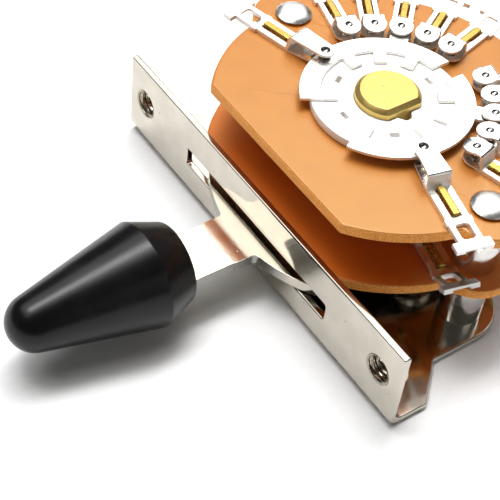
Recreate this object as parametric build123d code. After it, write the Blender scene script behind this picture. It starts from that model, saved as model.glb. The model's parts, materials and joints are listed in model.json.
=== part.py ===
from build123d import *
import math
import os

# Guitar pickup selector switch: a lever turns a shaft with two wafer switches on it, over five positions.
# Lengths are in millimetres. X runs along the mounting plate, Y goes back from its front face, Z is up.
# The origin is midway between the two panel screw holes, on the plate's front face.

# Mounting frame, one folded steel sheet
sheet = 0.8
hole_spacing = 41.3
plate_end = 3.0
plate_height = 10.3
hole_height = 5.8
thread_radius = 1.5
thread_chamfer = 0.08
collar_wall = 0.7
collar_length = 1.2
bend_radius = 0.8
slot_height = 2.1
slot_floor = 4.2
slot_corner = 0.3
foot_depth = 4.65
foot_bevel_depth = 3.95
foot_side = 3.8
foot_corner = 5.0
foot_behind_shaft = 4.4
index_rim = 1.6

# Shaft and lever
shaft_radius = 3.35
shaft_flat = 2.7
shaft_bevel = 0.45
shaft_proud = 0.7
shoulder_rim = 0.85
pivot_radius = 1.5
position_count = 5
position_pitch = 15.0
lever_thickness = 1.2
lever_play = 0.2
sector_radius = 16.95
sector_proud = 1.95
sector_half_angle = 45.0
neck_width = 6.1
neck_length = 2.1
neck_fillet = 0.6
tang_width = 5.9
tang_thickness = 0.85
tang_grip = 8.0

# Push-on tip of the lever
tip_back = -9.1
tip_rim = -12.75
tip_front = -27.3
tip_height = 5.75
tip_back_radius = 4.1
tip_rim_radius = 5.5
tip_nose_radius = 2.9
tip_edge = 0.6

# Detent: two balls held in the lever, pressed by a leaf spring into index holes in the foot
ball_radius = 2.35
ball_web = 3.3
index_hole_radius = 0.9
ball_rim = 0.8
spring_thickness = 0.3
spring_width = 5.0
spring_eye_wall = 1.6

# Wafers, pillars and rivets
wafer_thickness = 1.25
wafer_pitch = 7.2
wafer_margin = 1.35
wafer_front = 1.35
ear_radius = 4.25
rivet_shank = 1.2
rivet_head_radius = 1.95
rivet_neck_radius = 1.5
rivet_neck_height = 0.3
rivet_dome = 0.7
rivet_tail_radius = 1.9
rivet_gap = 0.82
pillar_radius = 2.25

# Rotors and their silvered contact blades
rotor_thickness = 0.92
spigot_wall = 1.75
collar_flange = 1.5
collar_thickness = 0.7
collar_gap = 0.52
notch_width = 1.8
notch_tip = 0.7
notch_depth = 0.8
blade_thickness = 0.35
hub_wall = 1.67
blade_width = 2.15
blade_overhang = 1.1
pole_gap = 2.1
tooth_length = 1.65
tooth_width = 1.4
tooth_places = 12
tooth_steps = (1, 2, 3, 5)
stake_width = 0.8
stake_thickness = 0.3
finger_width = 2.0
finger_bite = 1.5

# Terminals: one strip folded double at its outer bar, with two spring leaves, held by a brass staple
terminal_stock = 0.25
strap_width = 2.2
common_strap_width = 2.45
throw_gap = 0.5
throw_head_radius = 1.25
throw_leaf_step = 0.25
common_bite = 1.65
common_head_radius = 1.0
common_rotor_gap = 0.35
clip_length = 3.0
clip_rise = 0.35
clip_lean = 0.35
clip_nip = 0.1
clip_bend = 0.35
dimple_radius = 0.55
throw_dimple = 0.17
lower_dimple = 0.25
staple_setback = 0.15
staple_length = 3.65
staple_width = 0.7
staple_stock = 0.35
staple_foot = 0.5
staple_slot_width = 1.15
shoulder_setback = 0.2
shoulder_length = 0.65
shoulder_width = 2.75
lug_width = 2.5
window_setback = 0.1
window_length = 2.0
window_width = 1.45
window_corner = 0.4
bar_setback = 0.15
bar_length = 1.05
bar_width = 3.8
bar_split = 1.9
common_angle = 14.0
lower_lug_lift = 27.0

# Named clearances
pivot_play = 0.05
ball_play = 0.06
running_play = 0.08
key_play = 0.03
stop_play = 0.12
hole_play = 0.1

# Levels and travel
shaft_y = sector_radius - sector_proud
floor = -hole_height
travel = position_pitch * (position_count - 1) / 2
foot_top = floor + sheet
lever_bottom = floor + slot_floor + lever_play
lever_top = lever_bottom + lever_thickness
ball_level = foot_top + pivot_play + ball_radius
spring_bottom = max(lever_top, ball_level + ball_radius)
lower_wafer = spring_bottom + spring_thickness + collar_gap + collar_thickness + running_play
wafer_levels = {"lower": lower_wafer, "upper": lower_wafer + wafer_pitch}
rotor_lift = running_play + rotor_thickness
blade_top = rotor_lift + blade_thickness
shaft_top = wafer_levels["upper"] + wafer_thickness + blade_top + shaft_proud

# Radii about the shaft, from its shoulder out to the lugs and the wafer's edge
shoulder_radius = shaft_radius + shoulder_rim
ball_circle = shaft_radius + ball_web + ball_radius
spigot_radius = shaft_radius + spigot_wall
collar_radius = spigot_radius + collar_flange
tooth_pitch = 360 / tooth_places
tooth_inner = shaft_radius + key_play + hub_wall
blade_inner = tooth_inner + tooth_length
blade_outer = blade_inner + blade_width
rotor_radius = blade_outer - blade_overhang
throw_tip = blade_outer + throw_gap
finger_reach = throw_tip + finger_bite
common_tip = blade_outer - common_bite
clip_back = throw_tip + clip_length
staple_start = clip_back + staple_setback
staple_end = staple_start + staple_length
shoulder_start = staple_end + shoulder_setback
shoulder_end = shoulder_start + shoulder_length
window_start = shoulder_end + window_setback
window_end = window_start + window_length
bar_start = window_end + bar_setback
lug_end = bar_start + bar_length
wafer_radius = staple_end + wafer_margin

# Plan of the frame and the lever
throw_angles = [position_pitch * step for step in range(1, position_count + 1)]
middle_throw = throw_angles[position_count // 2]
rivet_x = (rivet_head_radius + shoulder_width / 2 + rivet_gap) / math.sin(math.radians(position_pitch))
plate_half = hole_spacing / 2 + plate_end
foot_half = rivet_x + foot_side
neck_half = neck_width / 2
neck_sweep = shaft_y * math.tan(math.radians(travel)) + neck_half / math.cos(math.radians(travel))
sector_sweep = math.sqrt(sector_radius ** 2 - (shaft_y - sheet) ** 2)
slot_half = max(neck_sweep, sector_sweep) + stop_play
neck_front = shaft_y - sector_radius - neck_length
ball_seat = math.sqrt(ball_radius ** 2 - (ball_level - lever_bottom) ** 2) + ball_play
lever_disc_radius = ball_circle + ball_radius + ball_rim
index_radius = ball_circle + index_hole_radius + index_rim


def polar(radius, angle):
    """Point at a radius and an angle in degrees about the shaft."""
    return (radius * math.cos(math.radians(angle)), shaft_y + radius * math.sin(math.radians(angle)))


def disc(radius, bottom, top, x=0.0, y=shaft_y):
    """Upright cylinder between two levels."""
    return Pos(x, y, (bottom + top) / 2) * Cylinder(radius, top - bottom)


def slab(sketch, bottom, top):
    """Flat outline given its thickness between two levels."""
    return Pos(0, 0, bottom) * extrude(sketch, top - bottom, dir=(0, 0, 1))


def d_shape(radius, flat):
    """Round shaft section with one flat towards +X, centred on the shaft."""
    block = Pos(flat - radius, 0) * Rectangle(2 * radius, 2 * radius)
    return Pos(0, shaft_y) * (Circle(radius) & block)


def sector(inner, outer, start, end):
    """Ring segment about the shaft between two angles."""
    mid = (start + end) / 2
    outline = Line(polar(inner, start), polar(outer, start))
    outline += ThreePointArc(polar(outer, start), polar(outer, mid), polar(outer, end))
    outline += Line(polar(outer, end), polar(inner, end))
    outline += ThreePointArc(polar(inner, end), polar(inner, mid), polar(inner, start))
    return make_face(outline)


def turned(sketch, angle):
    """Move a sketch drawn along +X from the origin to an angle about the shaft."""
    return Pos(0, shaft_y) * Rot(0, 0, angle) * sketch


def foot_outline():
    """Plan of the folded foot: full strip, bevelled shoulders, round rear corners and the index round."""
    strip = Pos(0, foot_depth / 2) * Rectangle(2 * plate_half, foot_depth)
    bevel_end = foot_depth + foot_bevel_depth
    bevel = make_face(Polyline((-plate_half, foot_depth), (plate_half, foot_depth), (foot_half, bevel_end),
                               (-foot_half, bevel_end), close=True))
    rear = shaft_y + foot_behind_shaft
    body = Pos(0, (bevel_end + rear) / 2) * Rectangle(2 * foot_half, rear - bevel_end)
    back_corners = body.vertices().group_by(Axis.Y)[-1]
    body = fillet(back_corners, foot_corner)
    return strip + bevel + body + Pos(0, shaft_y) * Circle(index_radius)


def mounting_frame():
    """Plate and foot folded from one sheet, with the lever slot, tapped holes and index holes."""
    rear = shaft_y + index_radius
    outer = bend_radius + sheet
    profile = Polyline((0, floor + plate_height), (0, floor + outer))
    profile += RadiusArc((0, floor + outer), (outer, floor), -outer)
    profile += Polyline((outer, floor), (rear, floor), (rear, foot_top), (outer, foot_top))
    profile += RadiusArc((outer, foot_top), (sheet, floor + outer), bend_radius)
    profile += Polyline((sheet, floor + outer), (sheet, floor + plate_height), (0, floor + plate_height))
    section = make_face(Plane.YZ * profile)
    folded = extrude(section, plate_half, dir=(1, 0, 0), both=True)
    frame = folded & slab(foot_outline(), floor, floor + plate_height)
    slot = Plane.XZ * Pos(0, floor + slot_floor + slot_height / 2) * RectangleRounded(
        2 * slot_half, slot_height, slot_corner)
    frame -= extrude(slot, 2 * sheet, both=True)
    for side in (-1, 1):
        hole_at = Pos(side * hole_spacing / 2, 0, 0)
        collar = Plane.XZ * Circle(thread_radius + collar_wall)
        frame += hole_at * Pos(0, sheet, 0) * extrude(collar, -collar_length)
        bore = Plane.XZ * Circle(thread_radius)
        frame -= hole_at * Pos(0, -sheet, 0) * extrude(bore, -(3 * sheet + collar_length))
        mouth = Cone(thread_radius, thread_radius + thread_chamfer, thread_chamfer)
        frame -= hole_at * Pos(0, thread_chamfer / 2, 0) * Rot(90, 0, 0) * mouth
        frame -= rivet_hole(side, floor, foot_top)
        frame -= rivet_tail(side, rivet_tail_radius + hole_play)
    frame -= disc(pivot_radius + pivot_play, floor, foot_top)
    for side in (0, 180):
        for step in range(position_count):
            angle = side - travel + step * position_pitch
            x, y = polar(ball_circle, angle)
            frame -= disc(index_hole_radius, floor, foot_top, x, y)
    return frame


def rivet_hole(side, bottom, top):
    """Clearance hole for a rivet."""
    return disc(rivet_shank + hole_play, bottom, top, side * rivet_x)


def rivet_tail(side, radius):
    """Countersunk tail of a rivet, flush with the underside."""
    depth = radius - rivet_shank
    return Pos(side * rivet_x, shaft_y, floor + depth / 2) * Cone(radius, rivet_shank, depth)


def wafer(level):
    """Phenolic disc with a straight front, an ear round each rivet, the rotor hole and the staple slots."""
    outline = Pos(0, shaft_y) * Circle(wafer_radius)
    for side in (-1, 1):
        outline += Pos(side * rivet_x, shaft_y) * Circle(ear_radius)
    depth = 2 * wafer_radius
    outline &= Pos(0, wafer_front + depth / 2) * Rectangle(2 * (rivet_x + ear_radius), depth)
    outline -= Pos(0, shaft_y) * Circle(spigot_radius + running_play)
    for name, angle in terminal_places():
        slot = Rectangle(staple_length + 2 * hole_play, staple_width + 2 * hole_play)
        outline -= turned(Pos((staple_start + staple_end) / 2, 0) * slot, angle)
    top = level + wafer_thickness
    body = slab(outline, level, top)
    for side in (-1, 1):
        body -= rivet_hole(side, level, top)
    return body


def terminal_places():
    """Name and angle of each terminal of a wafer: one common and five throws for each pole."""
    places = [("common_b", -common_angle), ("common_a", 180 + common_angle)]
    for step, angle in enumerate(throw_angles, 1):
        places.append((f"throw_b{step}", angle))
        places.append((f"throw_a{step}", 180 - angle))
    return places


def rivet(side):
    """Long rivet through the foot, pillar, both wafers and spacer, with a domed head on top."""
    seat = wafer_levels["upper"] + wafer_thickness
    rim = seat + rivet_neck_height
    shank = disc(rivet_shank, floor, seat, side * rivet_x)
    neck = Pos(side * rivet_x, shaft_y, (seat + rim) / 2) * Cone(
        rivet_neck_radius, rivet_head_radius, rivet_neck_height)
    sphere = (rivet_head_radius ** 2 + rivet_dome ** 2) / (2 * rivet_dome)
    ball = Pos(side * rivet_x, shaft_y, rim + rivet_dome - sphere) * Sphere(sphere)
    dome = ball & disc(rivet_head_radius, rim, rim + rivet_dome, side * rivet_x)
    return shank + neck + dome + rivet_tail(side, rivet_tail_radius)


def pillar(side, bottom, top):
    """Tube that spaces the wafers, round a rivet."""
    return disc(pillar_radius, bottom, top, side * rivet_x) - rivet_hole(side, bottom, top)


def shaft():
    """Brass shaft: foot pivot, shoulder under the lever, then a D section up through both rotors."""
    body = disc(pivot_radius, floor + pivot_play, foot_top + pivot_play)
    body += disc(shoulder_radius, foot_top + pivot_play, lever_bottom)
    stem = slab(d_shape(shaft_radius, shaft_flat), lever_bottom, shaft_top)
    top_edges = stem.edges().group_by(Axis.Z)[-1]
    stem = chamfer(top_edges, shaft_bevel)
    return body + stem


def key_hole():
    """Hole for the shaft's D section."""
    return d_shape(shaft_radius + key_play, shaft_flat + key_play)


def lever():
    """Stamped lever: disc on the shaft, sector through the plate's slot, neck and a thinner tang."""
    outline = Pos(0, shaft_y) * Circle(lever_disc_radius)
    outline += sector(shaft_radius, sector_radius, -90 - sector_half_angle, -90 + sector_half_angle)
    root = shaft_y - lever_disc_radius
    outline += Pos(0, (root + neck_front) / 2) * Rectangle(neck_width, root - neck_front)
    meet = shaft_y - math.sqrt(sector_radius ** 2 - neck_half ** 2)
    left = outline.vertices().sort_by_distance((-neck_half, meet, 0))[0]
    right = outline.vertices().sort_by_distance((neck_half, meet, 0))[0]
    outline = fillet([left, right], neck_fillet)
    outline -= key_hole()
    for angle in (0, 180):
        outline -= turned(Pos(ball_circle, 0) * Circle(ball_seat), angle)
    body = slab(outline, lever_bottom, lever_top)
    tang_end = tip_back - tang_grip
    tang = Pos(0, (neck_front + tang_end) / 2) * Rectangle(tang_width, neck_front - tang_end)
    return body + slab(tang, lever_top - tang_thickness, lever_top)


def detent_ball(angle):
    """Steel ball of the detent."""
    x, y = polar(ball_circle, angle)
    return Pos(x, y, ball_level) * Sphere(ball_radius)


def detent_spring():
    """Leaf spring that lies on the lever and presses both balls down."""
    reach = ball_circle + ball_radius
    bar = Pos(0, shaft_y) * SlotOverall(2 * reach, spring_width)
    eye = Pos(0, shaft_y) * Circle(shaft_radius + spring_eye_wall)
    return slab(bar + eye - key_hole(), spring_bottom, spring_bottom + spring_thickness)


def lever_tip():
    """Moulded tip, turned about the lever's line: flat back, flared rim, long cone and round nose."""
    centre = tip_front + tip_nose_radius
    to_rim = math.hypot(tip_rim_radius, tip_rim - centre)
    rim_angle = math.atan2(tip_rim - centre, tip_rim_radius)
    touch_angle = rim_angle - math.acos(tip_nose_radius / to_rim)
    mid_angle = (touch_angle - math.pi / 2) / 2
    touch = (tip_nose_radius * math.cos(touch_angle), centre + tip_nose_radius * math.sin(touch_angle))
    mid = (tip_nose_radius * math.cos(mid_angle), centre + tip_nose_radius * math.sin(mid_angle))
    back = (tip_back_radius, tip_back)
    rim = (tip_rim_radius, tip_rim)
    profile = Polyline((0, tip_front), (0, tip_back), back, rim, touch)
    profile += ThreePointArc(touch, mid, (0, tip_front))
    half = make_face(profile)
    back_edge = half.vertices().sort_by_distance((tip_back_radius, tip_back, 0))[0]
    half = fillet(back_edge, tip_edge)
    level = floor + tip_height
    body = revolve(Pos(0, 0, level) * half, axis=Axis((0, 0, level), (0, 1, 0)))
    depth = tang_grip + key_play
    socket = Pos(0, tip_back - depth / 2, lever_top - tang_thickness / 2) * Box(
        tang_width + 2 * key_play, depth, tang_thickness + 2 * key_play)
    return body - socket


def rotor(level):
    """White rotor: disc over the wafer, keyed spigot down through it, and slots for the blades' stakes."""
    top = level + wafer_thickness
    body = disc(rotor_radius, top + running_play, top + rotor_lift)
    body += disc(spigot_radius, level - running_play, top + running_play)
    flat = shaft_flat + key_play
    wide = notch_width / 2
    narrow = notch_tip / 2
    end = flat + notch_depth
    notch = make_face(Polyline((0, wide), (flat, wide), (end, narrow), (end, -narrow), (flat, -wide),
                               (0, -wide), close=True))
    body -= slab(key_hole() + turned(notch, 0), level - running_play, top + rotor_lift)
    slot = Rectangle(stake_thickness + 2 * hole_play, stake_width + 2 * hole_play)
    slot_at = Pos(tooth_inner + stake_thickness / 2 + hole_play, 0)
    for step in range(tooth_places):
        angle = 90 + step * tooth_pitch
        body -= slab(turned(slot_at * slot, angle), top + running_play, top + rotor_lift)
    return body


def rotor_collar(level):
    """Ring under the wafer that holds the rotor down."""
    top = level - running_play
    ring = Pos(0, shaft_y) * Circle(collar_radius) - key_hole()
    return slab(ring, top - collar_thickness, top)


def blade(level):
    """Silvered ring segment of the right pole, with teeth staked into the rotor and a contact finger."""
    last = 90 - tooth_steps[-1] * tooth_pitch
    reach = 2 * blade_outer
    outline = sector(blade_inner, blade_outer, last - tooth_pitch / 2, 90)
    outline -= turned(Pos(blade_outer, (reach - pole_gap) / 2) * Rectangle(reach, reach), 90)
    outline -= turned(Pos(blade_outer, -(reach + tooth_width) / 2) * Rectangle(reach, reach), last)
    bottom = level + wafer_thickness + rotor_lift
    root = (blade_inner + blade_outer) / 2
    stakes = []
    for step in tooth_steps:
        angle = 90 - step * tooth_pitch
        tooth = Rectangle(root - tooth_inner, tooth_width)
        outline += turned(Pos((tooth_inner + root) / 2, 0) * tooth, angle)
        stake_at = Pos(tooth_inner + hole_play + stake_thickness / 2, 0)
        stake = stake_at * Rectangle(stake_thickness, stake_width)
        stakes.append(slab(turned(stake, angle), bottom - rotor_thickness, bottom))
    finger = Rectangle(finger_reach - root, finger_width)
    outline += turned(Pos((root + finger_reach) / 2, 0) * finger, middle_throw)
    return slab(outline, bottom, bottom + blade_thickness) + stakes


def leaf(tip, radius, root, width):
    """Plan of one spring leaf: round end, then straight sides that widen or close in to the root."""
    centre = tip + radius
    outline = Pos(centre, 0) * Circle(radius)
    outline += make_face(Polyline((centre, -min(radius, width / 2)), (root, -width / 2), (root, width / 2),
                                  (centre, min(radius, width / 2)), close=True))
    return outline


def strap(width):
    """Plan of the stapled strap, its shoulder and the windowed lug."""
    outline = Pos((clip_back - terminal_stock + shoulder_end) / 2, 0) * Rectangle(
        shoulder_end - clip_back + terminal_stock, width)
    outline += Pos((shoulder_start + shoulder_end) / 2, 0) * Rectangle(shoulder_length, shoulder_width)
    outline += Pos((shoulder_end + lug_end) / 2, 0) * Rectangle(lug_end - shoulder_end, lug_width)
    outline += Pos((bar_start + lug_end) / 2, 0) * Rectangle(bar_length, bar_width)
    window = RectangleRounded(window_length, window_width, window_corner)
    outline -= Pos((window_start + window_end) / 2, 0) * window
    slot = Rectangle(staple_length + 2 * hole_play, staple_slot_width)
    return outline - Pos((staple_start + staple_end) / 2, 0) * slot


def pressed(body, along, face, depth, way):
    """Press a round dimple through a leaf from one face, so that its back stands out of the other."""
    centre = Pos(along, 0, face - way * (depth - dimple_radius))
    beyond = Pos(along, 0, face - way * bar_width / 2) * Box(bar_width, bar_width, bar_width)
    back = centre * Sphere(dimple_radius + terminal_stock) & beyond
    return body + back - centre * Sphere(dimple_radius)


def bent_up(body, lift):
    """Bend the lug up beyond the shoulder, about the strap's upper face."""
    seat = 2 * terminal_stock
    line = Axis((shoulder_end, 0, seat), (0, -1, 0))
    inner = Pos(shoulder_end - lug_end, 0, 0) * Box(2 * lug_end, 2 * lug_end, 2 * lug_end)
    section = Plane.YZ.offset(shoulder_end) * Pos(0, seat / 2) * Rectangle(lug_width, seat)
    corner = revolve(section, axis=line, revolution_arc=lift)
    return (body & inner) + corner + (body - inner).rotate(line, lift)


def terminal(level, angle, common, lift):
    """Spring clip and solder lug folded double from one strip: an upper and a lower leaf nip the blade."""
    width = common_strap_width if common else strap_width
    radius = common_head_radius if common else throw_head_radius
    tip = common_tip if common else throw_tip
    lower_tip = rotor_radius + common_rotor_gap if common else throw_tip + throw_leaf_step
    stock = terminal_stock
    nip = blade_top + clip_nip
    clip_height = nip + stock + clip_rise
    leaf_bottom = clip_height - stock if common else nip
    root = clip_back - stock
    crest = clip_back - clip_lean
    upper_side = make_face(Polyline(
        (lug_end, stock), (lug_end, 2 * stock), (clip_back, 2 * stock), (crest, clip_height),
        (tip, leaf_bottom + stock), (tip, leaf_bottom), (crest - stock, clip_height - stock), (root, stock),
        close=True))
    upper_side = fillet(upper_side.vertices().sort_by_distance((crest, clip_height, 0))[0], clip_bend)
    upper_plan = leaf(tip, radius, clip_back, width) + strap(width)
    body = extrude(Plane.XZ * upper_side, bar_width, both=True) & slab(upper_plan, 0, clip_height)
    lower_top = rotor_lift - clip_nip - lower_dimple
    lower_side = make_face(Polyline(
        (lug_end, 0), (lug_end, stock), (root, stock), (lower_tip, lower_top),
        (lower_tip, lower_top - stock), (root, 0), close=True))
    lower_plan = leaf(lower_tip, radius, clip_back, width) + strap(width)
    lower_plan -= Pos((bar_start + lug_end) / 2, 0) * Rectangle(2 * bar_length, bar_split)
    body += extrude(Plane.XZ * lower_side, bar_width, both=True) & slab(lower_plan, 0, clip_height)
    dimple_at = tip + radius
    if common:
        body = pressed(body, dimple_at, clip_height, clip_rise, 1)
    else:
        face = nip + stock + clip_rise * radius / (crest - tip)
        body -= Pos(dimple_at, 0, face + dimple_radius - throw_dimple) * Sphere(dimple_radius)
    lower_at = lower_tip + radius
    lower_face = (lower_top - stock) * (root - lower_at) / (root - lower_tip)
    body = pressed(body, lower_at, lower_face, lower_dimple, -1)
    if lift:
        body = bent_up(body, lift)
    return Pos(0, shaft_y, level + wafer_thickness) * Rot(0, 0, angle) * body


def staple(level, angle):
    """Brass staple over the doubled strap, through the wafer and turned out below it."""
    low = -wafer_thickness
    seat = 2 * terminal_stock
    inner = staple_start + staple_stock
    outer = staple_end - staple_stock
    toe = staple_start - staple_foot
    heel = staple_end + staple_foot
    under = low - staple_stock
    crown = seat + staple_stock
    side = make_face(Polyline(
        (staple_start, low), (toe, low), (toe, under), (inner, under), (inner, seat), (outer, seat),
        (outer, under), (heel, under), (heel, low), (staple_end, low), (staple_end, crown),
        (staple_start, crown), close=True))
    body = extrude(Plane.XZ * side, staple_width / 2, both=True)
    return Pos(0, shaft_y, level + wafer_thickness) * Rot(0, 0, angle) * body


def save(name, shape):
    """Write one sub-part."""
    export_step(shape, f"parts/{name}.step")


os.makedirs("parts", exist_ok=True)

save("mounting_frame", mounting_frame())
save("lever", lever())
save("lever_tip", lever_tip())
save("shaft", shaft())
save("detent_spring", detent_spring())
save("detent_ball_right", detent_ball(0))
save("detent_ball_left", detent_ball(180))

for side, side_name in ((-1, "left"), (1, "right")):
    save(f"rivet_{side_name}", rivet(side))
    save(f"pillar_{side_name}", pillar(side, foot_top, wafer_levels["lower"]))
    save(f"spacer_{side_name}", pillar(side, wafer_levels["lower"] + wafer_thickness, wafer_levels["upper"]))

for level_name, level in wafer_levels.items():
    save(f"{level_name}_wafer", wafer(level))
    save(f"{level_name}_rotor", rotor(level))
    save(f"{level_name}_rotor_collar", rotor_collar(level))
    save(f"{level_name}_blade_b", blade(level))
    save(f"{level_name}_blade_a", mirror(blade(level), about=Plane.YZ))
    for name, angle in terminal_places():
        common = name.startswith("common")
        lift = lower_lug_lift if common and level_name == "lower" else 0
        save(f"{level_name}_{name}", terminal(level, angle, common, lift))
    staples = [staple(level, angle) for name, angle in terminal_places()]
    save(f"{level_name}_staples", Compound(children=staples))
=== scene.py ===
import json
import math

import bmesh
import bpy
import numpy as np
from mathutils import Matrix, Vector

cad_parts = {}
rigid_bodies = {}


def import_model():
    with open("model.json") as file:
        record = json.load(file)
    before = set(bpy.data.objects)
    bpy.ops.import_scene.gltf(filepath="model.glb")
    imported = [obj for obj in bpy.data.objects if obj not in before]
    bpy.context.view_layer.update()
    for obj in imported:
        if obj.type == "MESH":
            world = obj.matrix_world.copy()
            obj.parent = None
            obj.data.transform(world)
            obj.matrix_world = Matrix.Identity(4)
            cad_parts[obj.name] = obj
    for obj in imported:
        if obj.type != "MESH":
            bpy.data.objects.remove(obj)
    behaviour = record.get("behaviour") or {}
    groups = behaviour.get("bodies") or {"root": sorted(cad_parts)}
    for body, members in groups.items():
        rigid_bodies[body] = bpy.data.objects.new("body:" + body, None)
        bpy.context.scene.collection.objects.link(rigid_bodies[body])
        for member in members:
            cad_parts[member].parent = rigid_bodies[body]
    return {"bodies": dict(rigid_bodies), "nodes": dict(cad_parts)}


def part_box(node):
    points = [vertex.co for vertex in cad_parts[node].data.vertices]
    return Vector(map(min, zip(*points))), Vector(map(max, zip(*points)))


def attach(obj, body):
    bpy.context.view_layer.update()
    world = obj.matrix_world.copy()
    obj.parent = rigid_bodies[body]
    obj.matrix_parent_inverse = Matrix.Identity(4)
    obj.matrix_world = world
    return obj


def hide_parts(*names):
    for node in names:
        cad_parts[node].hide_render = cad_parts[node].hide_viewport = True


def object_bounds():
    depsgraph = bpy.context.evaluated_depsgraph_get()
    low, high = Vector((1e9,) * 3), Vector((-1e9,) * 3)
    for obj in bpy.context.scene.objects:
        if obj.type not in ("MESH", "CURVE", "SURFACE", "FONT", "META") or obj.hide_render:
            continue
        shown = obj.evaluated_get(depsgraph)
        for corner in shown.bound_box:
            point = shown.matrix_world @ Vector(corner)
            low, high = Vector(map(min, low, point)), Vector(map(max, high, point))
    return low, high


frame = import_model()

# Looks of a guitar pickup selector switch: softened edges, threads, materials, light and camera.
# Lengths in the dictionaries are millimetres, which mm turns into metres, and angles are degrees. In those of the
# materials a cloud is (size, detail, stretch along each axis), specks are (spacing, share of places taken, radius as
# a share of the spacing), and a range is where a mask starts and where it is full.
mm = 0.001
cadBox = [list(corner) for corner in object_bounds()]
print("stage: solids loaded,", len(frame["nodes"]), "nodes")


class Wire:
    # One output socket. Sums written on it add Math nodes.
    def __init__(self, paint, socket):
        self.paint = paint
        self.socket = socket

    def work(self, operation, first, second=0.0):
        return self.paint.node("ShaderNodeMath", {"operation": operation}, {0: first, 1: second})

    def __add__(self, other):
        return self.work("ADD", self, other)

    def __radd__(self, other):
        return self.work("ADD", other, self)

    def __sub__(self, other):
        return self.work("SUBTRACT", self, other)

    def __rsub__(self, other):
        return self.work("SUBTRACT", other, self)

    def __mul__(self, other):
        return self.work("MULTIPLY", self, other)

    def __pow__(self, other):
        return self.work("POWER", self, other)

    def size(self):
        return self.work("ABSOLUTE", self)

    def larger(self, other):
        return self.work("MAXIMUM", self, other)

    def rise(self, low, high):  # 0 below low, 1 above high, smooth between
        return self.paint.node("ShaderNodeMapRange", {"interpolation_type": "SMOOTHSTEP"},
                               {"Value": self, "From Min": low, "From Max": high})

    def riseMm(self, low, high):  # the same between two lengths
        return self.rise(low * mm, high * mm)


def distance(first, second):  # of a point from the middle, out of its two coordinates
    return (first * first + second * second) ** 0.5


speckSettings = {"core": 0.6, "choice": 0.02}


class Paint:
    # One material while it is put together
    def __init__(self, name):
        self.material = bpy.data.materials.new(name)
        self.material.use_nodes = True
        self.tree = self.material.node_tree
        self.shader = self.tree.nodes["Principled BSDF"]
        self.place = self.node("ShaderNodeTexCoord", output="Object")

    def node(self, kind, settings=None, inputs=None, output=0):
        made = self.tree.nodes.new(kind)
        for key, value in (settings or {}).items():
            setattr(made, key, value)
        for key, value in (inputs or {}).items():
            if isinstance(value, Wire):
                self.tree.links.new(value.socket, made.inputs[key])
            else:
                made.inputs[key].default_value = value
        return Wire(self, made.outputs[output])

    def stretched(self, size, stretch):
        # Object coordinates counted in blobs of size millimetres, longer along an axis whose stretch is above 1
        spread = [1 / (size * mm * part) for part in stretch]
        return self.node("ShaderNodeVectorMath", {"operation": "MULTIPLY"}, {0: self.place, 1: spread})

    def cloud(self, size, detail, stretch=(1, 1, 1)):
        # Soft noise about 0.5
        return self.node("ShaderNodeTexNoise", None,
                         {"Vector": self.stretched(size, stretch), "Scale": 1.0, "Detail": detail})

    def cells(self, size, output="Distance"):
        # Distance to the nearest of scattered points, or a colour for each point
        return self.node("ShaderNodeTexVoronoi", None,
                         {"Vector": self.stretched(size, (1, 1, 1)), "Scale": 1.0}, output)

    def specks(self, size, share, radius):
        # Small round spots: only the cells whose own number is low have one
        number = self.node("ShaderNodeSeparateColor", None, {0: self.cells(size, "Color")})
        spots = 1 - self.cells(size).rise(radius * speckSettings["core"], radius)
        return spots * (1 - number.rise(share, share + speckSettings["choice"]))

    def part(self, source, axis):
        return self.node("ShaderNodeSeparateXYZ", None, {0: source}, axis)

    def facing(self, axis):
        return self.part(self.node("ShaderNodeNewGeometry", output="Normal"), axis)

    def blend(self, share, first, second):
        return self.node("ShaderNodeMix", {"data_type": "RGBA"},
                         {0: share, 6: self.tone(first), 7: self.tone(second)}, 2)

    def tone(self, colour):
        return colour if isinstance(colour, Wire) else (*colour, 1.0)

    def relief(self, height, depth):  # depth is what a height of 1 stands for, in millimetres
        return self.node("ShaderNodeBump", None, {"Height": height, "Distance": depth * mm}, "Normal")

    def done(self, **values):
        for key, value in values.items():
            socket = self.shader.inputs[key.replace("_", " ")]
            if isinstance(value, Wire):
                self.tree.links.new(value.socket, socket)
            else:
                socket.default_value = self.tone(value) if isinstance(value, tuple) else value
        return self.material


satin = {"colour": (0.54, 0.50, 0.43), "pale": (0.60, 0.56, 0.485), "pit": (0.12, 0.09, 0.06),
         "worn": (0.86, 0.82, 0.73), "sheared": (0.36, 0.35, 0.32), "grease": (0.26, 0.20, 0.13),
         "streaks": (0.20, 4, (3, 1, 1)), "polish": (2.6, 3), "smear": (0.7, 3), "grit": (0.2, 2),
         "pits": (1.5, 0.25, 0.07), "polishRange": (0.35, 0.7), "smearRange": (0.3, 0.6), "sideRange": (0.4, 0.6),
         "neckRange": (-8, -3), "frontRange": (-1.0, -0.3), "boreRange": (1.44, 1.46), "boreAt": 20.65,
         "pitShade": 0.7, "roughness": 0.12, "uneven": 0.10, "neckRough": 0.12, "sideRough": 0.15, "pitRough": 0.3,
         "greaseRough": 0.1, "gritHeight": 6, "relief": 0.004}


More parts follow.
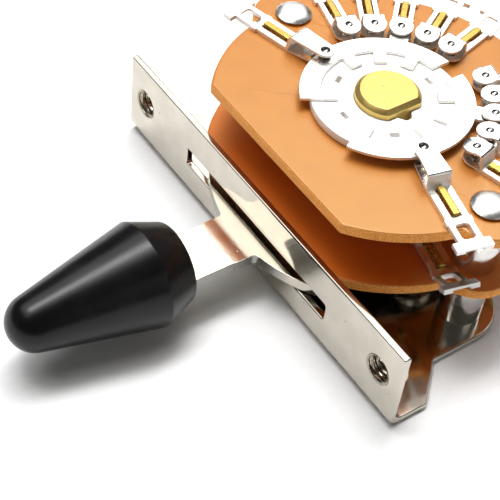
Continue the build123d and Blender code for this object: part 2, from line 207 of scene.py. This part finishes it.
def satinNickel():
    # Rolled sheet: faint streaks along the plate, cloudy polish, a few small pits, and a painted shade, dark brown
    # in blotches, in the two tapped holes, which are as far from the middle as boreAt. In front of the plate the
    # lever's upward faces carry a painted highlight, pale, and its sheared sides, which are duller, a painted shade,
    # dark; its neck is gritty.
    paint = Paint("satinNickel")
    streaks = paint.cloud(*satin["streaks"])
    polish = paint.cloud(*satin["polish"])
    pits = paint.specks(*satin["pits"])
    metal = paint.blend(polish.rise(*satin["polishRange"]), satin["colour"], satin["pale"])
    neck = 1 - paint.part(paint.place, "Y").riseMm(*satin["neckRange"])
    front = 1 - paint.part(paint.place, "Y").riseMm(*satin["frontRange"])
    side = 1 - paint.facing("Z").size().rise(*satin["sideRange"])
    # Painted highlight and shade: in front of the plate, upward faces are made pale and upright faces dark
    metal = paint.blend(front, metal, paint.blend(side, satin["worn"], satin["sheared"]))
    # Painted shade: blotches of dark brown inside the two tapped holes
    along = paint.part(paint.place, "X").size() - satin["boreAt"] * mm
    shadedBore = 1 - distance(along, paint.part(paint.place, "Z")).riseMm(*satin["boreRange"])
    smear = paint.cloud(*satin["smear"]).rise(*satin["smearRange"])
    metal = paint.blend(shadedBore * smear, metal, satin["grease"])
    grit = paint.cloud(*satin["grit"]) * neck * satin["gritHeight"]
    return paint.done(
        Base_Color=paint.blend(pits * satin["pitShade"], metal, satin["pit"]), Metallic=1.0,
        Roughness=satin["roughness"] + (polish - 0.5) * satin["uneven"] + neck * satin["neckRough"]
                  + front * side * satin["sideRough"] + pits * satin["pitRough"] + shadedBore * satin["greaseRough"],
        Normal=paint.relief(streaks - pits + grit, satin["relief"]))


bright = {"colour": (0.76, 0.74, 0.70), "smeared": (0.70, 0.69, 0.68), "head": (0.90, 0.90, 0.87),
          "rings": (0.06, 2, (60, 60, 1)), "smears": (0.9, 3), "dents": (0.22, 2), "headRange": (0.5, 0.8),
          "crownRange": (0.84, 0.94), "smearRange": (0.3, 0.8), "dullRange": (0.4, 0.8), "roughness": 0.12,
          "dull": 0.12, "headRough": 0.14, "crownRough": 0.22, "ringHeight": 0.12, "relief": 0.008}


def brightNickel():
    # Bright plate on turned parts, with faint tool rings, duller on the hammered heads, and a painted highlight that
    # makes every upward face paler
    paint = Paint("brightNickel")
    rings = paint.cloud(*bright["rings"])
    smears = paint.cloud(*bright["smears"])
    dents = paint.cloud(*bright["dents"])
    head = paint.facing("Z").rise(*bright["headRange"])
    crown = paint.facing("Z").rise(*bright["crownRange"])
    metal = paint.blend(smears.rise(*bright["smearRange"]), bright["colour"], bright["smeared"])
    return paint.done(
        # Painted highlight: upward faces take the paler head colour
        Base_Color=paint.blend(head, metal, bright["head"]), Metallic=1.0,
        Roughness=bright["roughness"] + smears.rise(*bright["dullRange"]) * bright["dull"]
                  + head * (crown * bright["crownRough"] + bright["headRough"]),
        Normal=paint.relief(rings * bright["ringHeight"] + head * dents, bright["relief"]))


silver = {"colour": (0.90, 0.885, 0.85), "tarnish": (0.74, 0.64, 0.50), "dark": (0.10, 0.10, 0.09),
          "speck": (0.30, 0.26, 0.22), "smears": (1.3, 4), "scratches": (0.035, 2, (20, 3, 3)),
          "stains": (0.5, 5), "specks": (0.7, 0.15, 0.05), "smearRange": (0.35, 0.75), "stainRange": (0.62, 0.8),
          "cutRange": (0.3, 0.8), "slopeRange": (0.2, 0.4), "levelRange": (0.95, 0.997),
          "dimpleRange": (11.3, 11.5), "shaftAt": 15, "stainShade": 0.2, "wallShade": 0.8, "speckShade": 0.6,
          "cutShine": 0.4, "roughness": 0.16, "smearRough": 0.10, "speckRough": 0.3, "cutRough": 0.22,
          "relief": 0.0015}


def silverPlate():
    # Bright silver with handling smears, hair scratches and a trace of tarnish, duller on cut sides. The sloping
    # walls of the contact dimples, which are nearer the shaft than dimpleRange, carry a painted shade that makes
    # them dark.
    paint = Paint("silverPlate")
    smears = paint.cloud(*silver["smears"])
    scratches = paint.cloud(*silver["scratches"])
    stains = paint.cloud(*silver["stains"]).rise(*silver["stainRange"])
    specks = paint.specks(*silver["specks"])
    metal = paint.blend(stains * silver["stainShade"], silver["colour"], silver["tarnish"])
    flat = paint.facing("Z").size()
    deep = paint.part(paint.place, "Y") - silver["shaftAt"] * mm
    inner = 1 - distance(paint.part(paint.place, "X"), deep).riseMm(*silver["dimpleRange"])
    wall = flat.rise(*silver["slopeRange"]) * (1 - flat.rise(*silver["levelRange"])) * inner
    cut = 1 - flat.rise(*silver["cutRange"])
    # Painted shade: the dimple walls are made dark
    metal = paint.blend(wall * silver["wallShade"], metal, silver["dark"])
    return paint.done(
        Base_Color=paint.blend(specks * silver["speckShade"], metal, silver["speck"]),
        Metallic=1 - cut * silver["cutShine"],
        Roughness=silver["roughness"] + smears.rise(*silver["smearRange"]) * silver["smearRough"]
                  + specks * silver["speckRough"] + cut * silver["cutRough"],
        Normal=paint.relief(scratches - specks, silver["relief"]))


yellow = {"colour": (0.60, 0.43, 0.13), "pale": (0.67, 0.49, 0.16), "dark": (0.20, 0.15, 0.03),
          "patches": (0.8, 4), "grain": (0.05, 3), "burrs": (0.75, 0.12, 0.13), "patchRange": (0.3, 0.75),
          "burrShade": 0.75, "roughness": 0.34, "uneven": 0.12, "burrRough": 0.3, "grainHeight": 0.4,
          "relief": 0.012}


def cutBrass():
    # Sawn and turned brass: patchy, finely grained, with small dark burr marks
    paint = Paint("cutBrass")
    patches = paint.cloud(*yellow["patches"])
    burrs = paint.specks(*yellow["burrs"])
    grain = paint.cloud(*yellow["grain"])
    metal = paint.blend(patches.rise(*yellow["patchRange"]), yellow["colour"], yellow["pale"])
    return paint.done(
        Base_Color=paint.blend(burrs * yellow["burrShade"], metal, yellow["dark"]), Metallic=1.0,
        Roughness=yellow["roughness"] + patches * yellow["uneven"] + burrs * yellow["burrRough"],
        Normal=paint.relief(grain * yellow["grainHeight"] - burrs, yellow["relief"]))


stapleTone = {"colour": (0.60, 0.43, 0.11), "worn": (0.46, 0.30, 0.06), "wear": (0.45, 4),
              "drawn": (0.03, 2, (12, 12, 1)), "wearRange": (0.45, 0.8), "roughness": 0.2, "uneven": 0.15,
              "relief": 0.003}


def stapleBrass():
    # Bright wire strip in worn patches, with fine drawing marks
    paint = Paint("stapleBrass")
    wear = paint.cloud(*stapleTone["wear"])
    drawn = paint.cloud(*stapleTone["drawn"])
    return paint.done(
        Base_Color=paint.blend(wear.rise(*stapleTone["wearRange"]), stapleTone["colour"], stapleTone["worn"]),
        Metallic=1.0, Roughness=stapleTone["roughness"] + wear * stapleTone["uneven"],
        Normal=paint.relief(drawn, stapleTone["relief"]))


steelTone = {"colour": (0.55, 0.55, 0.56), "dark": (0.42, 0.42, 0.44), "grain": (0.05, 3, (25, 1, 1)),
             "grainRange": (0.3, 0.7), "roughness": 0.30, "uneven": 0.12, "relief": 0.003}


def springSteel():
    # Dark spring strip with rolled grain
    paint = Paint("springSteel")
    grain = paint.cloud(*steelTone["grain"])
    return paint.done(
        Base_Color=paint.blend(grain.rise(*steelTone["grainRange"]), steelTone["colour"], steelTone["dark"]),
        Metallic=1.0, Roughness=steelTone["roughness"] + grain * steelTone["uneven"],
        Normal=paint.relief(grain, steelTone["relief"]))


ballTone = {"colour": (0.70, 0.70, 0.72), "greasy": (0.55, 0.52, 0.46), "grease": (1.1, 3),
            "greaseRange": (0.4, 0.8), "roughness": 0.07, "greaseRough": 0.2}


def polishedSteel():
    # Detent balls: near mirror, with grease smears
    paint = Paint("polishedSteel")
    grease = paint.cloud(*ballTone["grease"]).rise(*ballTone["greaseRange"])
    return paint.done(Base_Color=paint.blend(grease, ballTone["colour"], ballTone["greasy"]), Metallic=1.0,
                      Roughness=ballTone["roughness"] + grease * ballTone["greaseRough"])


black = {"colour": (0.003, 0.0028, 0.003), "dusty": (0.006, 0.0057, 0.0058), "speck": (0.35, 0.33, 0.30),
         "peel": (0.10, 3), "haze": (3.0, 3), "dust": (1.1, 0.3, 0.035), "hazeRange": (0.3, 0.7),
         "dustShade": 0.5, "roughness": 0.26, "uneven": 0.12, "dustRough": 0.3, "gloss": 0.28, "relief": 0.004}


def mouldedBlack():
    # Half-gloss moulding with a slight orange peel and a little dust
    paint = Paint("mouldedBlack")
    peel = paint.cloud(*black["peel"])
    dust = paint.specks(*black["dust"])
    haze = paint.cloud(*black["haze"])
    tone = paint.blend(haze.rise(*black["hazeRange"]), black["colour"], black["dusty"])
    return paint.done(
        Base_Color=paint.blend(dust * black["dustShade"], tone, black["speck"]),
        Roughness=black["roughness"] + (haze - 0.5) * black["uneven"] + dust * black["dustRough"],
        Specular_IOR_Level=black["gloss"], Normal=paint.relief(peel, black["relief"]))


board = {"colour": (0.46, 0.112, 0.002), "pale": (0.49, 0.128, 0.004), "deep": (0.42, 0.095, 0.001),
         "under": (0.61, 0.112, 0.001), "cut": (1.0, 0.38, 0.07), "cutDark": (0.66, 0.185, 0.017),
         "burr": (1.0, 0.62, 0.24), "mottle": (2.4, 4), "fibres": (0.10, 4, (5, 2, 1)),
         "torn": (0.09, 4, (1.5, 1.5, 1)), "mottleRange": (0.3, 0.7), "fibreRange": (0.50, 0.80),
         "tornRange": (0.40, 0.60), "burrRange": (0.35, 0.6), "sideRange": (0.3, 0.7), "underRange": (-0.6, -0.2),
         "between": 0.5, "fibreShade": 0.25, "burrShade": 0.6, "roughness": 0.42, "uneven": 0.1, "sideRough": 0.25,
         "ior": 1.6, "gloss": 0.9, "glossTint": (0.85, 1.0, 0.5), "coat": 0.3, "coatRough": 0.35,
         "fibreHeight": 0.25, "relief": 0.02}


def paperPhenolic():
    # Pressed paper board: almost even on its faces, granular where it was punched, with a painted highlight along
    # the rounded edges, and a painted shade, deeper in colour, on the undersides and on the lower wafer, which lie
    # in each other's shade
    paint = Paint("paperPhenolic")
    middle = (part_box("lower_wafer")[1][2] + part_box("upper_wafer")[0][2]) / 2 / mm
    lower = 1 - paint.part(paint.place, "Z").riseMm(middle - board["between"], middle + board["between"])
    shaded = lower.larger(1 - paint.facing("Z").rise(*board["underRange"]))
    mottle = paint.cloud(*board["mottle"])
    fibres = paint.cloud(*board["fibres"])
    face = paint.blend(mottle.rise(*board["mottleRange"]), board["colour"], board["pale"])
    face = paint.blend(fibres.rise(*board["fibreRange"]) * board["fibreShade"], face, board["deep"])
    # Painted shade: undersides and the lower wafer take a deeper red
    face = paint.blend(shaded, face, board["under"])
    torn = paint.cloud(*board["torn"])
    edge = paint.blend(torn.rise(*board["tornRange"]), board["cutDark"], board["cut"])
    sideways = 1 - paint.facing("Z").size().rise(*board["sideRange"])
    whole = paint.blend(sideways, face, edge)
    # Painted highlight along the rounded edges: a paler band, partly torn burr as well
    arris = sideways * (1 - sideways) * 4 * torn.rise(*board["burrRange"])  # full where sideways is a half
    return paint.done(
        Base_Color=paint.blend(arris * board["burrShade"], whole, board["burr"]),
        Roughness=board["roughness"] + mottle * board["uneven"] + sideways * board["sideRough"], IOR=board["ior"],
        Specular_IOR_Level=board["gloss"], Specular_Tint=board["glossTint"],
        Coat_Weight=(1 - sideways.larger(shaded)) * board["coat"], Coat_Roughness=board["coatRough"],
        Normal=paint.relief(fibres * board["fibreHeight"] + sideways * torn, board["relief"]))


white = {"colour": (0.90, 0.89, 0.865), "pale": (0.94, 0.935, 0.92), "haze": (1.2, 3), "grain": (0.06, 2),
         "hazeRange": (0.3, 0.7), "roughness": 0.34, "uneven": 0.12, "relief": 0.004}


def whiteMoulding():
    # White rotor moulding, slightly hazy
    paint = Paint("whiteMoulding")
    haze = paint.cloud(*white["haze"])
    grain = paint.cloud(*white["grain"])
    return paint.done(Base_Color=paint.blend(haze.rise(*white["hazeRange"]), white["colour"], white["pale"]),
                      Roughness=white["roughness"] + haze * white["uneven"],
                      Normal=paint.relief(grain, white["relief"]))


paperTone = {"colour": (0.86, 0.86, 0.86), "pale": (0.88, 0.88, 0.88), "near": (0.0, 0.0, 0.0),
             "glow": (1.0, 1.0, 1.0), "glowRange": (140, 450), "tooth": (0.5, 3), "toothRange": (0.3, 0.7),
             "roughness": 0.75, "uneven": 0.1}


def palePaper():
    # Plain pale paper, almost even. Far from the switch, where the lamps don't reach, it glows.
    paint = Paint("palePaper")
    tooth = paint.cloud(*paperTone["tooth"])
    far = distance(paint.part(paint.place, "X"), paint.part(paint.place, "Y")).riseMm(*paperTone["glowRange"])
    return paint.done(
        Base_Color=paint.blend(tooth.rise(*paperTone["toothRange"]), paperTone["colour"], paperTone["pale"]),
        Roughness=paperTone["roughness"] + tooth * paperTone["uneven"],
        Emission_Color=paint.blend(far, paperTone["near"], paperTone["glow"]), Emission_Strength=1.0)


finishes = {"nickel_steel": satinNickel(), "bright_nickel": brightNickel(), "spring_steel": springSteel(),
            "ball_steel": polishedSteel(), "black_plastic": mouldedBlack(), "brass": cutBrass(),
            "staple_brass": stapleBrass(), "silver_plate": silverPlate(), "phenolic": paperPhenolic(),
            "white_plastic": whiteMoulding()}
print("stage: materials,", len(finishes))


def dressed(piece, body, slotName, *nodes):
    # Gives a finished piece its material, its body and the solids it stands for
    piece.data.materials.clear()
    piece.data.materials.append(finishes[slotName])
    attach(piece, body)
    if nodes:
        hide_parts(*nodes)


def placed(name, mesh):
    piece = bpy.data.objects.new(name, mesh)
    bpy.context.scene.collection.objects.link(piece)
    return piece


surface = {"weld": 0.0005, "steps": 6, "cornerShare": 0.45}


def gridPiece(name, points, closedRows=False):
    # Skin through a grid of points (rows, columns, 3). Columns always close on themselves, rows when asked.
    # Poles are merged to one point, and faces are turned outwards.
    rows, columns = points.shape[:2]
    index = np.arange(rows * columns).reshape(rows, columns)
    below = np.roll(index, -1, axis=0) if closedRows else index[1:]
    above = index if closedRows else index[:-1]
    faces = np.stack([above, below, np.roll(below, -1, axis=1), np.roll(above, -1, axis=1)], axis=-1)
    mesh = bpy.data.meshes.new(name)
    mesh.from_pydata((points.reshape(-1, 3) * mm).tolist(), [], faces.reshape(-1, 4).tolist())
    work = bmesh.new()
    work.from_mesh(mesh)
    bmesh.ops.remove_doubles(work, verts=work.verts, dist=surface["weld"] * mm)
    bmesh.ops.recalc_face_normals(work, faces=work.faces)
    work.to_mesh(mesh)
    work.free()
    mesh.shade_smooth()
    return placed(name, mesh)


def rounded(corners, radius, steps=surface["steps"]):
    # Each inner corner of an open line becomes a short curve: start, corner and end blended by t squared. It takes
    # at most cornerShare of the lines beside it.
    corners = np.array(corners, float)
    radius = np.broadcast_to(radius, len(corners) - 2)[:, None]
    inner = corners[1:-1]
    back = corners[:-2] - inner
    ahead = corners[2:] - inner
    backLength = np.linalg.norm(back, axis=1, keepdims=True)
    aheadLength = np.linalg.norm(ahead, axis=1, keepdims=True)
    cut = np.minimum(radius, surface["cornerShare"] * np.minimum(backLength, aheadLength))
    start = inner + back / backLength * cut
    end = inner + ahead / aheadLength * cut
    t = np.linspace(0, 1, steps)[None, :, None]
    curve = (1 - t) ** 2 * start[:, None] + 2 * t * (1 - t) * inner[:, None] + t ** 2 * end[:, None]
    return np.concatenate([corners[:1], curve.reshape(-1, 2), corners[-1:]])


def turnedPoints(profile, centre, along, count):
    # A profile of (radius, distance along the axis) carried round a circle: radius times cosine and sine, plus
    # the distance along the axis
    angle = np.linspace(0, 2 * np.pi, count, endpoint=False)
    radius, reach = profile[:, :1], profile[:, 1:]
    ring = [radius * np.cos(angle), radius * np.sin(angle), reach + 0 * angle]
    order = {"Z": (0, 1, 2), "Y": (0, 2, 1)}[along]
    return np.stack([ring[k] for k in order], axis=-1) + np.array(centre, float)


# How wide the rounded edges of each kind are
softEdge = {"mounting_frame": 0.18, "lever": 0.03, "shaft": 0.05, "wafer": 0.24, "rotor": 0.07, "rotor_collar": 0.05,
            "blade": 0.05, "staples": 0.07, "common": 0.045, "throw": 0.045, "detent_spring": 0.04}
softSettings = {"merge": 0.001, "flat": 0.4, "corner": 33.0, "segments": 3, "held": ("staples", "common", "throw"),
                "split": ("wafer",)}


def camel(words):
    first, *rest = words.split("_")
    return first + "".join(word.capitalize() for word in rest)


def softened(node, kind):
    # A copy of a solid's mesh, welded, its flat faces made whole, and every sharp edge rounded over. A held piece
    # has a narrower round where its edges lie close together. A split piece keeps its triangles, because a whole
    # face with many holes is cut up wrongly once its edges are rounded.
    work = bmesh.new()
    work.from_mesh(frame["nodes"][node].data)
    bmesh.ops.remove_doubles(work, verts=work.verts, dist=softSettings["merge"] * mm)
    if kind not in softSettings["split"]:
        bmesh.ops.dissolve_limit(work, angle_limit=math.radians(softSettings["flat"]), verts=work.verts,
                                 edges=work.edges)
    work.verts.index_update()
    name = camel("soft_" + node)
    mesh = bpy.data.meshes.new(name)
    mesh.from_pydata([v.co[:] for v in work.verts], [], [[v.index for v in f.verts] for f in work.faces])
    work.free()
    mesh.shade_smooth()
    piece = placed(name, mesh)
    bevel = piece.modifiers.new("softEdges", "BEVEL")
    bevel.width = softEdge[kind] * mm
    bevel.segments = softSettings["segments"]
    bevel.limit_method = "ANGLE"
    bevel.angle_limit = math.radians(softSettings["corner"])
    bevel.use_clamp_overlap = kind in softSettings["held"]
    bevel.miter_outer = "MITER_ARC"
    weigh = piece.modifiers.new("flatFaces", "WEIGHTED_NORMAL")
    weigh.keep_sharp = True
    return piece


slotOf = {"mounting_frame": "nickel_steel", "lever": "nickel_steel", "shaft": "brass", "wafer": "phenolic",
          "rotor": "white_plastic", "rotor_collar": "white_plastic", "blade": "silver_plate",
          "staples": "staple_brass", "common": "silver_plate", "throw": "silver_plate", "rivet": "bright_nickel",
          "pillar": "bright_nickel", "spacer": "bright_nickel", "detent_spring": "spring_steel",
          "detent_ball": "ball_steel", "lever_tip": "black_plastic"}


def kindOf(node):
    # The longest kind whose name is in the node's name
    return max((kind for kind in slotOf if kind in node), key=len)


for body, empty in frame["bodies"].items():
    for node in [child.name for child in empty.children]:
        kind = kindOf(node)
        if kind in softEdge:
            dressed(softened(node, kind), body, slotOf[kind], node)
print("stage: softened sheet, wafers, blades and terminals")


tip = {"backRadius": 4.1, "rimAt": 3.65, "noseRadius": 2.9, "edge": 0.5, "rimEdge": 0.12, "noseRows": 24,
       "edgeRows": 8, "around": 128}


def leverTip():
    # Turned about the lever's line: flat back, flared rim, long cone, and a nose that is part of a ball
    low, high = (np.array(corner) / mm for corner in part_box("lever_tip"))
    rim = (high[0] - low[0]) / 2
    nose = tip["noseRadius"]
    centreAlong = low[1] + nose
    rimAlong = high[1] - tip["rimAt"]
    reach = math.hypot(rim, rimAlong - centreAlong)
    touch = math.atan2(rimAlong - centreAlong, rim) - math.acos(nose / reach)
    sweep = np.linspace(-math.pi / 2, touch, tip["noseRows"])
    cap = np.stack([nose * np.cos(sweep), centreAlong + nose * np.sin(sweep)], axis=1)
    rest = rounded([cap[-1], (rim, rimAlong), (tip["backRadius"], high[1]), (0, high[1])],
                   (tip["rimEdge"], tip["edge"]), tip["edgeRows"])
    points = turnedPoints(np.concatenate([cap, rest[1:]]), (0, 0, (low[2] + high[2]) / 2), "Y", tip["around"])
    dressed(gridPiece("leverTip", points), "lever", "black_plastic", "lever_tip")


ball = {"rows": 33, "around": 64}


def detentBall(node):
    # A ball: radius times cosine and sine of the latitude, turned about its upright axis
    low, high = (np.array(corner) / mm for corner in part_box(node))
    radius = (high[2] - low[2]) / 2
    latitude = np.linspace(-math.pi / 2, math.pi / 2, ball["rows"])
    profile = radius * np.stack([np.cos(latitude), np.sin(latitude)], axis=1)
    points = turnedPoints(profile, (low + high) / 2, "Z", ball["around"])
    dressed(gridPiece(camel(node), points), "lever", "ball_steel", node)


leverTip()
detentBall("detent_ball_left")
detentBall("detent_ball_right")

stack = {"shank": 1.2, "play": 0.1, "tail": 1.9, "neck": 1.5, "neckHeight": 0.3, "dome": 0.7, "domeShare": 0.93,
         "domeRows": 14, "edge": 0.12, "around": 96}


def rivet(node):
    # Turned about its upright axis: countersunk tail, shank, undercut neck, and a dome that is part of a ball and
    # starts at domeShare of its angle, which leaves room for the rounded rim
    low, high = (np.array(corner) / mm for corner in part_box(node))
    head = (high[0] - low[0]) / 2
    rim = high[2] - stack["dome"]
    seat = rim - stack["neckHeight"]
    sphere = (head ** 2 + stack["dome"] ** 2) / (2 * stack["dome"])
    lean = np.linspace(stack["domeShare"] * math.asin(head / sphere), 0, stack["domeRows"])
    dome = np.stack([sphere * np.sin(lean), high[2] - sphere * (1 - np.cos(lean))], axis=1)
    taper = low[2] + stack["tail"] - stack["shank"]
    lower = [(0, low[2]), (stack["tail"], low[2]), (stack["shank"], taper), (stack["shank"], seat),
             (stack["neck"], seat), (head, rim), dome[0]]
    profile = np.concatenate([rounded(lower, stack["edge"]), dome[1:]])
    points = turnedPoints(profile, ((low[0] + high[0]) / 2, (low[1] + high[1]) / 2, 0), "Z", stack["around"])
    dressed(gridPiece(camel(node), points), "frame", "bright_nickel", node)


def tube(node):
    # Ring with eased outer corners round a rivet's shank
    low, high = (np.array(corner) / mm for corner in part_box(node))
    outer = (high[0] - low[0]) / 2
    bore = stack["shank"] + stack["play"]
    profile = rounded([(bore, low[2]), (outer, low[2]), (outer, high[2]), (bore, high[2])], stack["edge"])
    points = turnedPoints(profile, ((low[0] + high[0]) / 2, (low[1] + high[1]) / 2, 0), "Z", stack["around"])
    dressed(gridPiece(camel(node), points, closedRows=True), "frame", "bright_nickel", node)


for side in ("left", "right"):
    rivet(f"rivet_{side}")
    tube(f"pillar_{side}")
    tube(f"spacer_{side}")
print("stage: tip, balls, rivets and tubes")

thread = {"root": 1.50, "height": 0.24, "pitch": 0.5, "spacing": 41.3, "depth": 2.0, "mouth": 0.05, "lead": 0.25,
          "wall": 0.06, "steepness": 1.5, "flat": 0.25, "rows": 100, "around": 72}


def tappedThread(name, side):
    # Thread inside a tapped hole. The radius falls from the root by the ridge height times a wave of depth over
    # pitch less angle over a full turn, with flat crests and roots, faded out at both mouths. The skin closes in
    # the wall.
    angle = np.linspace(0, 2 * np.pi, thread["around"], endpoint=False)
    depth = np.linspace(thread["mouth"], thread["depth"] - thread["mouth"], thread["rows"])[:, None]
    wave = 1 - np.abs(2 * ((depth / thread["pitch"] - side * angle / (2 * np.pi)) % 1) - 1)
    ridge = np.clip(thread["steepness"] * wave - thread["flat"], 0, 1)
    fade = np.clip(np.minimum(depth, thread["depth"] - depth) / thread["lead"], 0, 1)
    radius = thread["root"] - thread["height"] * ridge * fade
    radius = np.concatenate([radius, 0 * radius[::-1] + thread["root"] + thread["wall"]])
    depth = np.concatenate([depth, depth[::-1]]) + 0 * angle
    across = side * thread["spacing"] / 2 + radius * np.cos(angle)
    points = np.stack([across, depth, radius * np.sin(angle)], axis=-1)
    dressed(gridPiece(name, points, closedRows=True), "frame", "nickel_steel")


tappedThread("threadLeft", -1)
tappedThread("threadRight", 1)
print("stage: threads")


floorSize = {"half": 1500, "below": 0.01, "wallRadius": 1400, "wallHeight": 1500, "around": 64}


def paper():
    # One flat face under the part
    level = cadBox[0][2] / mm - floorSize["below"]
    half = floorSize["half"]
    mesh = bpy.data.meshes.new("paper")
    corners = np.array([(-half, -half, level), (half, -half, level), (half, half, level), (-half, half, level)])
    mesh.from_pydata((corners * mm).tolist(), [], [(0, 1, 2, 3)])
    mesh.materials.append(palePaper())
    placed("paper", mesh)
    return mesh.materials[0]


def backdrop(material):
    # Upright ring round everything, for low views: radius times cosine and sine. Only the camera sees it, so it
    # lights nothing.
    level = cadBox[0][2] / mm
    radius = floorSize["wallRadius"]
    profile = np.array([(radius, level), (radius, level + floorSize["wallHeight"])])
    wall = gridPiece("backdrop", turnedPoints(profile, (0, 0, 0), "Z", floorSize["around"]))
    wall.data.materials.append(material)
    wall.visible_diffuse = wall.visible_glossy = wall.visible_transmission = wall.visible_shadow = False


backdrop(paper())

lamps = {"sky": {"at": (-270, 130, 520), "aim": (-270, 130, 0), "wide": 640, "deep": 1040, "radiance": 2.2},
         "key": {"at": (-135, 60, 515), "aim": (-135, 60, 0), "wide": 120, "deep": 460, "radiance": 15.0},
         "side": {"at": (420, 120, 220), "aim": (0, 0, 0), "wide": 260, "deep": 260, "radiance": 0.8}}
surround = {"colour": (0.90, 0.88, 0.84), "strength": 0.08}


def lamp(name, at, aim, wide, deep, radiance):
    # Soft rectangular light: its power is radiance times pi times its area
    data = bpy.data.lights.new(name, "AREA")
    data.shape = "RECTANGLE"
    data.size = wide * mm
    data.size_y = deep * mm
    data.energy = radiance * math.pi * wide * deep * mm * mm
    made = bpy.data.objects.new(name, data)
    bpy.context.scene.collection.objects.link(made)
    made.location = Vector(at) * mm
    made.rotation_euler = (Vector(aim) - Vector(at)).to_track_quat("-Z", "Y").to_euler()


for name, values in lamps.items():
    lamp(name, **values)
world = bpy.data.worlds.new("studio")
world.use_nodes = True
world.node_tree.nodes["Background"].inputs[0].default_value = (*surround["colour"], 1)
world.node_tree.nodes["Background"].inputs[1].default_value = surround["strength"]
bpy.context.scene.world = world
bpy.context.scene.view_settings.view_transform = "Standard"

view = {"at": (74.720, -61.553, 102.623), "azimuth": 50.4944, "elevation": 47.6130, "roll": 7.4268,
        "lens": 101.558, "sensor": 36.0, "clip": 5}


def photoCamera():
    # Right, up and back axes from the azimuth, elevation and roll
    azimuth, elevation, roll = (math.radians(view[key]) for key in ("azimuth", "elevation", "roll"))
    ahead = Vector((-math.sin(azimuth) * math.cos(elevation), math.cos(azimuth) * math.cos(elevation),
                    -math.sin(elevation)))
    level = Vector((math.cos(azimuth), math.sin(azimuth), 0))
    upright = level.cross(ahead)
    right = level * math.cos(roll) + upright * math.sin(roll)
    up = upright * math.cos(roll) - level * math.sin(roll)
    data = bpy.data.cameras.new("photoCamera")
    data.lens = view["lens"]
    data.sensor_width = view["sensor"]
    data.clip_start = view["clip"] * mm
    made = bpy.data.objects.new("photoCamera", data)
    bpy.context.scene.collection.objects.link(made)
    turn = Matrix((right, up, -ahead)).transposed().to_4x4()
    made.matrix_world = Matrix.Translation(Vector(view["at"]) * mm) @ turn
    bpy.context.scene.camera = made


photoCamera()
print("stage: floor, lights and camera")
